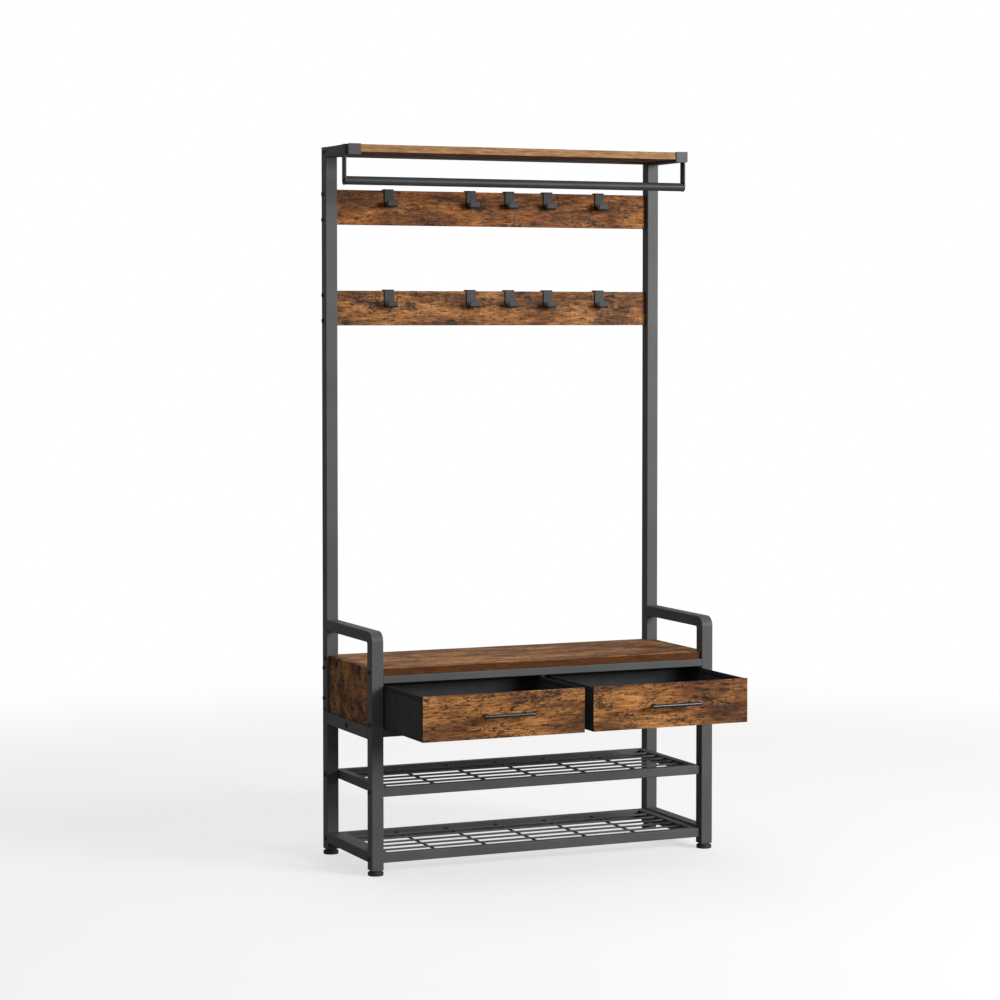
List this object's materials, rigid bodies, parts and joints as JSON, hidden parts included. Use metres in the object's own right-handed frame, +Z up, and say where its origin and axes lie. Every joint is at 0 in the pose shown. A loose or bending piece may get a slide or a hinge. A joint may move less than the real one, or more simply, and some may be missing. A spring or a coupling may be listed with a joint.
{
  "type": "hall tree with hooks",
  "caption": "Free-standing entryway hall tree: tubular frame with top shelf, hanging rod, boards with sliding hooks, bench seat over pull-out drawers, and wire shoe shelves.",
  "frame": {"origin": "on the floor, under the middle of the outline with the drawers open as stored; the middle of the four posts is 133.5 mm further back", "axes": "+Z up, +X to the right seen from the front, the drawers open towards -Y"},
  "size_m": [0.9112, 0.602, 1.7205],
  "materials": {
    "dark_steel": "matt powder coat",
    "rustic_wood": "matt rustic brown laminate on board",
    "black_fabric": "stiffened non-woven cloth",
    "base_board": "dark board insert",
    "handle_metal": "satin black",
    "dark_fastener": "black oxide",
    "plated_nut": "zinc plated",
    "black_plastic": "matt moulded plastic"
  },
  "bodies": {
    "frame": {"back_panel": "rustic_wood", "barrel_nuts": "plated_nut", "bench_apron": "dark_steel", "bench_board": "rustic_wood", "drawer_divider": "rustic_wood", "drawer_guides": "dark_steel", "drawer_rails": "dark_steel", "end_caps": "black_plastic", "foot_inserts": "black_plastic", "frame_bolts": "dark_fastener", "front_leg_left": "dark_steel", "front_leg_right": "dark_steel", "hanging_rod": "dark_steel", "hook_board_lower": "rustic_wood", "hook_board_upper": "rustic_wood", "lower_side_rail_left": "dark_steel", "lower_side_rail_right": "dark_steel", "mid_side_rail_left": "dark_steel", "mid_side_rail_right": "dark_steel", "panel_screws": "dark_fastener", "rail_inserts": "plated_nut", "rear_post_left": "dark_steel", "rear_post_right": "dark_steel", "rod_brackets": "dark_steel", "shelf_frame_lower": "dark_steel", "shelf_frame_middle": "dark_steel", "shelf_grid_lower": "dark_steel", "shelf_grid_middle": "dark_steel", "side_panel_left": "rustic_wood", "side_panel_right": "rustic_wood", "top_board": "rustic_wood", "top_rear_rail": "dark_steel", "top_side_rail_left": "dark_steel", "top_side_rail_right": "dark_steel"},
    "drawer_left": {"drawer_left_base": "base_board", "drawer_left_bin": "black_fabric", "drawer_left_front": "rustic_wood", "drawer_left_handle": "handle_metal", "drawer_left_screws": "dark_fastener"},
    "drawer_right": {"drawer_right_base": "base_board", "drawer_right_bin": "black_fabric", "drawer_right_front": "rustic_wood", "drawer_right_handle": "handle_metal", "drawer_right_screws": "dark_fastener"},
    "hook_upper_1": {"hook_upper_1": "dark_steel"},
    "hook_upper_2": {"hook_upper_2": "dark_steel"},
    "hook_upper_3": {"hook_upper_3": "dark_steel"},
    "hook_upper_4": {"hook_upper_4": "dark_steel"},
    "hook_upper_5": {"hook_upper_5": "dark_steel"},
    "hook_lower_1": {"hook_lower_1": "dark_steel"},
    "hook_lower_2": {"hook_lower_2": "dark_steel"},
    "hook_lower_3": {"hook_lower_3": "dark_steel"},
    "hook_lower_4": {"hook_lower_4": "dark_steel"},
    "hook_lower_5": {"hook_lower_5": "dark_steel"},
    "foot_front_left": {"foot_front_left": "black_plastic"},
    "foot_front_right": {"foot_front_right": "black_plastic"},
    "foot_rear_left": {"foot_rear_left": "black_plastic"},
    "foot_rear_right": {"foot_rear_right": "black_plastic"}
  },
  "joints": [
    {"name": "drawer_left_slide", "type": "slide", "parent": "frame", "child": "drawer_left", "axis": [0, -1, 0], "range_m": [-0.236, 0.014]},
    {"name": "drawer_right_slide", "type": "slide", "parent": "frame", "child": "drawer_right", "axis": [0, -1, 0], "range_m": [-0.236, 0.014]},
    {"name": "hook_upper_1_slide", "type": "slide", "parent": "frame", "child": "hook_upper_1", "axis": [1, 0, 0], "range_m": [-0.126, 0.096]},
    {"name": "hook_upper_2_slide", "type": "slide", "parent": "frame", "child": "hook_upper_2", "axis": [1, 0, 0], "range_m": [-0.096, 0.0393]},
    {"name": "hook_upper_3_slide", "type": "slide", "parent": "frame", "child": "hook_upper_3", "axis": [1, 0, 0], "range_m": [-0.0393, 0.0393]},
    {"name": "hook_upper_4_slide", "type": "slide", "parent": "frame", "child": "hook_upper_4", "axis": [1, 0, 0], "range_m": [-0.0393, 0.0585]},
    {"name": "hook_upper_5_slide", "type": "slide", "parent": "frame", "child": "hook_upper_5", "axis": [1, 0, 0], "range_m": [-0.0585, 0.118]},
    {"name": "hook_lower_1_slide", "type": "slide", "parent": "frame", "child": "hook_lower_1", "axis": [1, 0, 0], "range_m": [-0.126, 0.096]},
    {"name": "hook_lower_2_slide", "type": "slide", "parent": "frame", "child": "hook_lower_2", "axis": [1, 0, 0], "range_m": [-0.096, 0.0393]},
    {"name": "hook_lower_3_slide", "type": "slide", "parent": "frame", "child": "hook_lower_3", "axis": [1, 0, 0], "range_m": [-0.0393, 0.0393]},
    {"name": "hook_lower_4_slide", "type": "slide", "parent": "frame", "child": "hook_lower_4", "axis": [1, 0, 0], "range_m": [-0.0393, 0.0585]},
    {"name": "hook_lower_5_slide", "type": "slide", "parent": "frame", "child": "hook_lower_5", "axis": [1, 0, 0], "range_m": [-0.0585, 0.118]},
    {"name": "foot_front_left_turn", "type": "hinge", "parent": "frame", "child": "foot_front_left", "pos_m": [-0.435, -0.0165, 0.013], "axis": [0, 0, 1], "continuous": true},
    {"name": "foot_front_right_turn", "type": "hinge", "parent": "frame", "child": "foot_front_right", "pos_m": [0.435, -0.0165, 0.013], "axis": [0, 0, 1], "continuous": true},
    {"name": "foot_rear_left_turn", "type": "hinge", "parent": "frame", "child": "foot_rear_left", "pos_m": [-0.435, 0.2835, 0.013], "axis": [0, 0, 1], "continuous": true},
    {"name": "foot_rear_right_turn", "type": "hinge", "parent": "frame", "child": "foot_rear_right", "pos_m": [0.435, 0.2835, 0.013], "axis": [0, 0, 1], "continuous": true}
  ]
}
